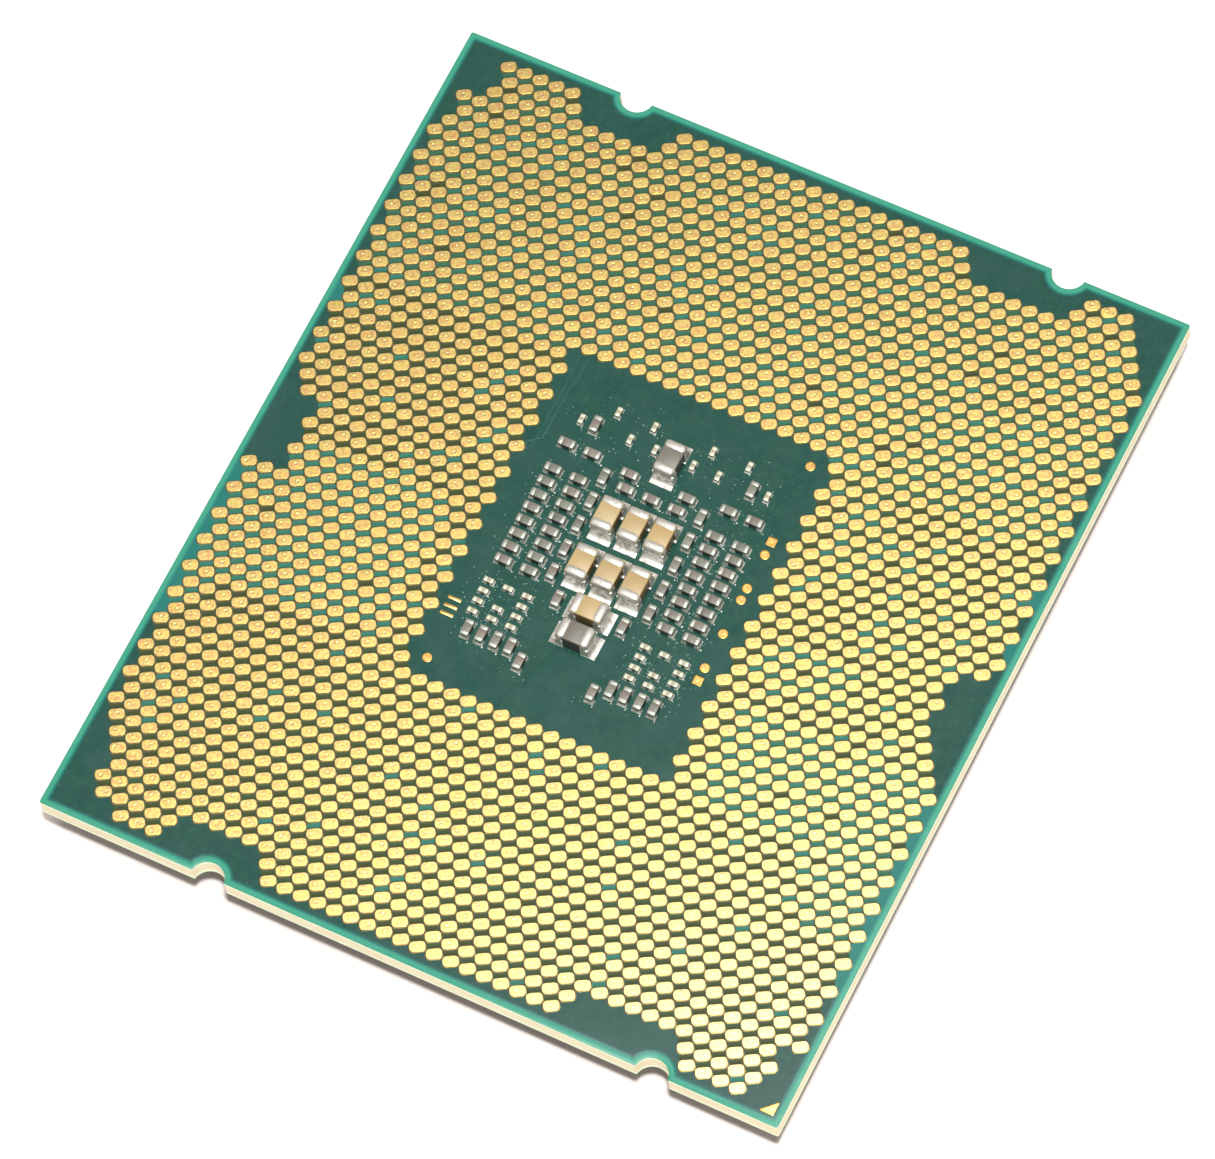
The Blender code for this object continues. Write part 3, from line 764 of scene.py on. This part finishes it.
def tally_marks():
    """Three plain gold bars in the south-west of the bare centre, in place of a short text."""
    x, first_y, spacing = (-7.28 * MM, -5.82 * MM, 0.5 * MM)
    half_x, half_y, corner = (0.40 * MM, 0.10 * MM, 0.05 * MM)
    profile = ((0.0, MASK_FOOT), (0.0, MASK_TOP + 0.012 * MM), (0.02 * MM, MASK_TOP + 0.018 * MM))
    shape = Shape()
    for index in range(3):
        centre = (x, first_y - spacing * index)
        rings = [ring(rounded_rectangle(half_x - inset, half_y - inset, corner, 3, centre), z)
                 for inset, z in profile]
        points, faces = loft(rings)
        shape.add((points, faces), local=np.full(points.shape, FAR), tone=0.8)
    shape.build("tally_marks", [GOLD_MARK], "gold_plating")


def mask_traces():
    """Two buried traces that show as faint ridges in the north-west of the bare centre."""
    runs = (
        ((-7.68, 10.45), (-7.68, 8.9), (-7.58, 8.5), (-7.58, 4.9), (-7.66, 4.2)),
        ((-7.13, 10.45), (-7.13, 8.9), (-7.29, 8.3), (-7.29, 5.0), (-7.95, 4.5), (-8.0, 4.2)),
    )
    half_width = 0.035 * MM
    profile = ((-1.0, -0.002), (-0.5, 0.004), (0.5, 0.004), (1.0, -0.002))  # across, and rise in mm
    shape = Shape()
    for run in runs:
        points = np.array(run) * MM
        heading = np.gradient(points, axis=0)
        heading /= np.linalg.norm(heading, axis=1)[:, None]
        side = np.column_stack((heading[:, 1], -heading[:, 0])) * half_width
        sections = [ring(points + side * across, MASK_TOP + rise * MM) for across, rise in profile]
        shape.add(loft(list(np.stack(sections, axis=1))), copper=0.85)
    shape.build("mask_trace_ridges", [MASK], "solder_mask")


# Capacitors ----

# In mm, except foot and climb: lip is how far the end caps stand proud, skirt how far the solder reaches
# past the end, foot the share of the skirt under the hollow, climb the share of the height it reaches
# the bead entries give the radius and place, in mm, of the whitish bead put beside a chip as a painted
# glint
LARGE = dict(length=2.0, width=1.25, height=1.16, terminal=0.44, bulge=0.10, lip=0.035, skirt=0.42,
             foot=0.42, climb=0.62, lift=0.03, glint_size=0.095, glint_at=(-0.36, -0.69, 0.26))
MEDIUM = dict(length=1.0, width=0.5, height=0.47, terminal=0.25, bulge=0.02, lip=0.012, skirt=0.06,
              foot=0.75, climb=0.5, lift=0.03, glint_size=0.045, glint_at=(0.66, -0.28, 0.0))
SMALL = dict(length=0.6, width=0.3, height=0.27, terminal=0.20, bulge=0.01, lip=0.008, skirt=0.05,
             foot=0.75, climb=0.5, lift=0.03, glint_size=0.028, glint_at=(0.40, -0.18, 0.0))
LARGE_ACROSS = dict(LARGE, glint_size=0.0)  # no painted glint bead beside the two that lie along X


def turned(lofted, centre, along):
    """Moves a loft drawn along X onto the mask at a chip's centre, along X or Y."""
    points, faces = lofted
    x, y, z = points.T
    if along == "Y":
        x, y = -y, x
    return np.column_stack((x + centre[0], y + centre[1], z + MASK_TOP)), faces


def bar_rings(half_width, low, high, corner, stations):
    """Upright cross-sections along X; a station is (x, shrink, bow), bow pushing the middle along X."""
    rings = []
    for x, shrink, bow in stations:
        section = rounded_rectangle(half_width - shrink, (high - low) / 2 - shrink, corner, 3)
        y, z = section.T
        shift = x + bow * (1 - (y / half_width) ** 2)
        rings.append(np.column_stack((shift, y, z + (low + high) / 2)))
    return rings


def body_box(size):
    """A chip's length, width, height and lift off the mask, in metres."""
    return [size[key] * MM for key in ("length", "width", "height", "lift")]


def chip_body(size):
    """A ceramic block with broken edges that ends inside its end caps."""
    length, width, height, lift = body_box(size)
    half = length / 2 - 0.06 * MM
    edge = 0.02 * MM
    stations = ((-half, edge, 0), (-half + edge, 0, 0), (half - edge, 0, 0), (half, edge, 0))
    return loft(bar_rings(width / 2, lift, lift + height, width * 0.06, stations))


def chip_terminal(size, side):
    """A metal end cap with rounded edges and an inner rim that bows towards the middle."""
    length, width, height, lift = body_box(size)
    reach, bow, lip = (size[key] * MM for key in ("terminal", "bulge", "lip"))
    outer = length / 2
    inner = outer - reach
    soft = width * 0.10
    stations = (
        (inner - soft * 0.1, lip * 1.2, -bow), (inner + soft * 0.1, lip * 0.75, -bow),
        (inner + soft * 0.5, lip * 0.3, -bow * 0.9), (inner + soft * 1.1, 0, -bow * 0.6),
        (outer - soft * 1.2, soft * 0.06, 0), (outer - soft * 0.6, soft * 0.25, 0),
        (outer - soft * 0.2, soft * 0.6, 0), (outer, soft * 1.1, 0),
    )
    rings = bar_rings(width / 2 + lip, lift - 0.01 * MM, lift + height + lip, width * 0.14, stations)
    if side < 0:
        rings = [section * np.array((-1, 1, 1)) for section in reversed(rings)]
    return loft(rings)


def chip_solder(size, side):
    """Solder on the pad, drawn up the end of the chip in a hollow curve."""
    length, width, height, lift = body_box(size)
    skirt, climb, foot = size["skirt"] * MM, size["climb"], size["foot"]
    inner = length / 2 - size["terminal"] * MM * 1.05
    corner = 0.035 * MM
    apron = 0.035 * MM  # how far the foot stands out beside the end cap
    # Level above the mask and share of the skirt: the pad, then the hollow up the end cap
    levels = [(0.0, 1.0), (0.6 * lift, 1.0), (0.9 * lift, 0.985), (lift, 0.95)]
    hollow = ((0.01, 1), (0.05, 0.66), (0.09, 0.36), (0.14, 0.18), (0.26, 0.07), (0.45, 0.03), (climb, 0))
    levels += [(lift + height * rise, foot * share) for rise, share in hollow]
    rings = []
    for z, share in levels:
        outer = length / 2 + skirt * share
        half_width = width / 2 + 0.025 * width + apron * min(share * 1.6, 1.0)
        middle = ((outer + inner) / 2, 0.0)
        rings.append(ring(rounded_rectangle((outer - inner) / 2, half_width, corner, 3, middle), z))
    points, faces = loft(rings)
    return points * np.array((side, side, 1)), faces


def dome(centre, radius, height, sides):
    """A small dome that stands on the mask, used for the beads painted as glints and for crumbs."""
    angles = (0.0, 0.45, 0.9, 1.3)
    return loft(ball_rings(centre, radius, MASK_FOOT, height, angles, sides), cap_start=False)


def ball_rings(centre, radius, base, rise, angles, sides):
    """Level rings of a ball or dome round a centre, from angles above its middle plane."""
    return [ring(circle(radius * math.cos(angle), sides, centre), base + rise * math.sin(angle))
            for angle in angles]


def solder_bead(size, centre, along):
    """A small whitish bead beside a chip, always east of its centre, painted as a glint of its solder."""
    end, side, rise = (value * MM for value in size["glint_at"])
    x, y = (end, side) if along == "X" else (-side, -end)
    radius = size["glint_size"] * MM * RANDOM.uniform(0.7, 1.15)
    place = (centre[0] + x + RANDOM.gauss(0, 0.01 * MM), centre[1] + y + RANDOM.gauss(0, 0.03 * MM))
    if rise == 0:
        return dome(place, radius, radius * 1.1, 12)
    angles = (-1.3, -0.9, -0.45, 0.0, 0.45, 0.9, 1.3)
    return loft(ball_rings(place, radius, MASK_TOP + rise, radius, angles, 12))


def capacitor_group(node, chips, ceramic):
    """Bodies, end caps and solder of the chips that one CAD node stands for, with the beads painted as
    glints.
    """
    bodies, caps, joints = Shape(), Shape(), Shape()
    for x, y, along, size in chips:
        centre = (x * MM, y * MM)
        CHIP_CENTRES.append(centre)
        finish = 1 if size is SMALL else 0
        body = chip_body(size)
        # level: share of the body's height; the walls' painted shade starts below the top
        level = (body[0][:, 2] / MM - size["lift"]) / size["height"]
        bodies.add(turned(body, centre, along), finish, tone=RANDOM.random(), level=level)
        if size["glint_size"]:
            joints.add(solder_bead(size, centre, along), 1)
        for side in (-1, 1):
            caps.add(turned(chip_terminal(size, side), centre, along), finish)
            joints.add(turned(chip_solder(size, side), centre, along))
    label = node.replace("capacitor", "chip")
    slot = node_slot(node)
    metal = TERMINAL if "power" in node else MEDIUM_TERMINAL
    bodies.build(label + "_bodies", [ceramic, BEIGE], slot, [node], sharp=60)
    caps.build(label + "_end_caps", [metal, SMALL_TERMINAL], slot, sharp=60)
    joints.build(label + "_solder", [SOLDER, GLINT_FINISH], slot, sharp=60)


def large_capacitors():
    """The nine large chips: two rows of three, one to the north and two that lie across to the south."""
    chips = {}
    for row, y in enumerate((1.925, -1.24), 1):
        for column, x in enumerate((-1.633, 0.0, 1.633), 1):
            chips[f"power_capacitor_{row}_{column}"] = (x, y, "Y", TAN)
    chips["power_capacitor_north"] = (0.0, 6.425, "Y", BROWN)
    chips["power_capacitor_south"] = (0.0, -3.63, "X", TAN)
    chips["power_capacitor_far_south"] = (0.0, -5.27, "X", BROWN)
    for node, (x, y, along, ceramic) in chips.items():
        size = LARGE if along == "Y" else LARGE_ACROSS
        capacitor_group(node, [(x, y, along, size)], ceramic)


def small_capacitors():
    """The medium and small chips: three in the middle, the rest laid out for the east and mirrored."""
    bank_rows = [5.13] + [3.41 - 0.872 * index for index in range(8)]
    ladder_rows = [4.14 - 1.59 * index for index in range(5)]
    grid_columns = (3.645, 4.815, 6.01)
    grid_rows = [-4.11 - 0.673 * index for index in range(4)]
    empty_place = (grid_columns[1], grid_rows[1])
    upper = [(x, 6.86, "Y", SMALL) for x in (1.165, 2.725, 5.755)]
    east = {
        "capacitor_bank_{}_outer": [(5.80, y, "X", MEDIUM) for y in bank_rows],
        "capacitor_bank_{}_inner": [(4.22, y, "X", MEDIUM) for y in bank_rows],
        "capacitor_column_{}": [(3.0, y, "Y", MEDIUM) for y in ladder_rows],
        "capacitor_row_south{}": [(x, -7.22, "Y", MEDIUM) for x in (3.10, 3.98, 4.87, 5.75)],
        "capacitor_single_{}": [(2.02, -3.57, "Y", MEDIUM)],
        "capacitor_single_south{}": [(2.24, -7.82, "Y", MEDIUM)],
        "capacitor_single_north{}": [(1.775, 4.86, "X", MEDIUM)],
        "signal_capacitors_north{}": [(x, 8.09, "Y", SMALL) for x in (1.81, 4.05)],
        "signal_capacitors_upper_{}": upper + [(4.85, 6.84, "Y", MEDIUM)],
        "signal_capacitor_grid_{}": [(x, y, "X", SMALL) for x in grid_columns for y in grid_rows
                                     if (x, y) != empty_place],
    }
    capacitor_group("capacitor_trio_north", [(x, 3.98, "X", MEDIUM) for x in (-1.575, 0.0, 1.575)], GREY)
    for side, sign in (("west", -1), ("east", 1)):
        for name, chips in east.items():
            capacitor_group(name.format(side), [(sign * x, *rest) for x, *rest in chips], GREY)


def flux_specks():
    """Tiny crumbs of flux and solder scattered round the chips."""
    shape = Shape()
    for x, y in CHIP_CENTRES:
        for _ in range(SPECKS_PER_CHIP):
            turn = RANDOM.uniform(0, 2 * math.pi)
            reach = RANDOM.uniform(0.45, 1.3) * MM
            radius = RANDOM.choice((0.014, 0.020, 0.026, 0.034)) * MM
            place = (x + reach * math.cos(turn), y + reach * math.sin(turn))
            shape.add(dome(place, radius, radius * 0.8, 6))
    shape.build("flux_specks", [SPECK], "solder_mask")


# Lid and die stack ----

def drill_vent(piece):
    """Cuts the round vent hole, with a chamfered mouth, through the lid beside its cavity."""
    centre = (-13.2 * MM, 15.6 * MM)
    radius = 0.45 * MM
    chamfer = 0.1 * MM
    below = 1 * MM
    mouth = radius + chamfer
    profile = ((mouth + below, -below), (mouth, 0.0), (radius, chamfer), (radius, LID_HIGH.z))
    lofted = loft([ring(circle(reach, 40, centre), z) for reach, z in profile])
    drill = placed("vent_drill", mesh_of("vent_drill", lofted))
    piece.modifiers.new("vent", "BOOLEAN").object = drill
    bpy.context.view_layer.update()
    evaluated = piece.evaluated_get(bpy.context.evaluated_depsgraph_get())
    mesh = bpy.data.meshes.new_from_object(evaluated)
    piece.modifiers.clear()
    piece.data = mesh
    mesh.shade_smooth()
    mesh.set_sharp_from_angle(angle=math.radians(35))
    bpy.data.objects.remove(drill)


def lid():
    """The flanged lid: platform, step, flange, bonding face and the cavity for the die."""
    # Half sizes and corner radius
    platform = (17.25 * MM, 19.5 * MM, 2.4 * MM)
    flange = (LID_HIGH.x, LID_HIGH.y, 1.6 * MM)
    cavity = (16.5 * MM, 19.0 * MM, 3.0 * MM)
    top = LID_HIGH.z
    flange_face = top - 1.15 * MM
    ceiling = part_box("indium_solder")[0].z - 0.01 * MM
    rounding = 0.22 * MM
    fillet = 0.25 * MM
    border = rounding + 0.3 * MM
    chamfer = 0.06 * MM
    cavity_chamfer = 0.05 * MM
    cavity_bevel = 0.1 * MM

    def outline(base, grow, z):
        half_x, half_y, corner = base
        return ring(rounded_rectangle(half_x + grow, half_y + grow, max(corner + grow, 0.3 * MM), 10), z)

    def rounded_edge(base, z):
        return [outline(base, rounding * (math.sin(angle) - 1), z + rounding * (1 - math.cos(angle)))
                for angle in np.linspace(0, math.pi / 2, 6)]

    rings = [outline(platform, -6 * MM, 0.0), outline(platform, -border, 0.0)]
    rings += rounded_edge(platform, 0.0)
    for angle in np.linspace(0, math.pi / 2, 5):
        level = flange_face - fillet * (1 - math.sin(angle))
        rings.append(outline(platform, fillet * (1 - math.cos(angle)), level))
    rings.append(outline(flange, -border, flange_face))
    rings += rounded_edge(flange, flange_face)
    rings += [
        outline(flange, 0.0, top - chamfer), outline(flange, -chamfer, top),
        outline(cavity, cavity_chamfer, top), outline(cavity, 0.0, top - cavity_chamfer),
        outline(cavity, 0.0, ceiling + cavity_bevel), outline(cavity, -cavity_bevel, ceiling),
    ]
    shape = Shape().add(loft(rings))
    drill_vent(shape.build("lid_shell", [NICKEL], "nickel_plating", ["heat_spreader"], sharp=35))


def sealant_ring():
    """A bead of adhesive squeezed out a little unevenly between lid and board."""
    low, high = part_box("lid_sealant")
    # Half sizes and corner radius
    outer = (high.x - 0.05 * MM, high.y - 0.05 * MM, 1.5 * MM)
    inner = (16.9 * MM, 19.4 * MM, 3.0 * MM)
    steps = 24
    bulge = 0.04 * MM
    middle = (low.z + high.z) / 2
    half_height = (high.z - low.z) / 2
    count = len(rounded_rectangle(*outer, steps))
    turn = np.arange(count) / count * 2 * math.pi
    waves = np.zeros(count)
    for frequency in (5, 9, 14, 23):
        waves += RANDOM.uniform(0.3, 1.0) * np.sin(turn * frequency + RANDOM.uniform(0, 6.28))
    squeeze = bulge + 0.06 * MM * waves[:, None]

    def section(base, push, z):
        outline = rounded_rectangle(*base, steps)
        outward = outline / np.linalg.norm(outline, axis=1)[:, None]
        return ring(outline + outward * push, z)

    rings = [
        section(outer, 0.0, low.z), section(outer, squeeze, middle - half_height * 0.4),
        section(outer, squeeze, middle + half_height * 0.4), section(outer, 0.0, high.z),
        section(inner, 0.0, high.z), section(inner, 0.0, low.z),
    ]
    Shape().add(loft(rings, closed=True)).build("sealant_bead", [SEALANT], "sealant", ["lid_sealant"])


def carried_nodes():
    """CAD nodes inside the lid keep their shape and get better materials."""
    finishes = {
        "silicon_die": SILICON,
        "indium_solder": INDIUM,
        "solder_bump_layer": BUMPS,
        "underfill": UNDERFILL,
    }
    for node, material in finishes.items():
        for entry in frame["nodes"][node].material_slots:
            entry.material = material


# Studio ----

CAMERA_AZIMUTH = 35.34
CAMERA_ELEVATION = 65.13
CAMERA_ROLL = -9.70
CAMERA_DISTANCE = 430.6 * MM
LAMP_DISTANCE = 0.6
CAMERA_LENS = 231.5  # mm, on a 36 mm sensor
AIM = Vector((-0.106 * MM, -1.267 * MM, LAND_TOP))


def direction(azimuth, elevation):
    """Unit vector towards a place at an azimuth (0 is -Y, 90 is +X) and an elevation, in degrees."""
    a, e = math.radians(azimuth), math.radians(elevation)
    return Vector((math.sin(a) * math.cos(e), -math.cos(a) * math.cos(e), math.sin(e)))


def aimed(item, place, target, roll=0.0):
    """Puts a camera or lamp at a place, looking at a target, turned by roll degrees about its view."""
    back = (place - target).normalized()
    right = Vector((0, 0, 1)).cross(back).normalized()
    up = back.cross(right)
    basis = Matrix((right, up, back)).transposed()
    spin = Matrix.Rotation(math.radians(roll), 3, "Z")
    item.matrix_world = Matrix.Translation(place) @ (basis @ spin).to_4x4()


def add_camera():
    """The photograph's camera, as fitted to the lattice of lands."""
    data = bpy.data.cameras.new("camera")
    data.lens = CAMERA_LENS
    data.sensor_width = 36.0
    data.clip_start = 0.01
    data.clip_end = 20.0
    camera = placed("camera", data)
    back = direction(CAMERA_AZIMUTH, CAMERA_ELEVATION)
    aimed(camera, AIM + back * CAMERA_DISTANCE, AIM, CAMERA_ROLL)
    bpy.context.scene.camera = camera


def add_softbox(name, azimuth, elevation, side, power):
    """A square lamp that looks at the board; side is its width in metres."""
    data = bpy.data.lights.new(name, "AREA")
    data.shape = "RECTANGLE"
    data.size = side
    data.size_y = side
    data.energy = power
    aimed(placed(name, data), AIM + direction(azimuth, elevation) * LAMP_DISTANCE, AIM)


def add_floor():
    """A plain pale floor, faintly clouded, with its face at the lid's foot."""
    finish = Finish("pale_floor", Roughness=0.7)
    cloud = finish.noise(40 * MM, 2.0)
    finish.feed("Base Color", finish.tint((0.91, 0.82, 0.79), (0.93, 0.84, 0.81), cloud, 0.3, 0.7))
    half, corner, thickness = (1.5, 0.2, 0.01)
    outline = rounded_rectangle(half, half, corner, 6)
    floor = placed("floor", mesh_of("floor", loft([ring(outline, z) for z in (-thickness, 0.0)])))
    floor.data.materials.append(finish.material)


def add_world():
    """Even, slightly warm light from all round, shown without a filmic curve."""
    world = bpy.data.worlds.new("studio")
    world.use_nodes = True
    background = world.node_tree.nodes["Background"]
    background.inputs["Color"].default_value = (1.0, 0.87, 0.81, 1.0)
    background.inputs["Strength"].default_value = 0.39
    bpy.context.scene.world = world
    bpy.context.scene.view_settings.view_transform = "Standard"


def studio():
    """Camera, floor, surroundings and the two lamps."""
    add_camera()
    add_floor()
    add_world()
    add_softbox("key", 41.5, 72.6, 0.04, 3.85)
    add_softbox("overhead", 190.0, 83.2, 0.18, 1.05)


mask_sheet("land_mask_sheet", "land_side_solder_mask", 1)
mask_sheet("die_mask_sheet", "die_side_solder_mask", -1)
layer("board_core", "substrate_core", CORE)
layer("board_land_buildup", "land_side_buildup", BUILDUP)
layer("board_die_buildup", "die_side_buildup", BUILDUP)
land_fields()
mask_slots()
bare_edge_patches()
probe_pads()
pin_one_markers()
tally_marks()
mask_traces()
large_capacitors()
small_capacitors()
flux_specks()
lid()
sealant_ring()
carried_nodes()
studio()
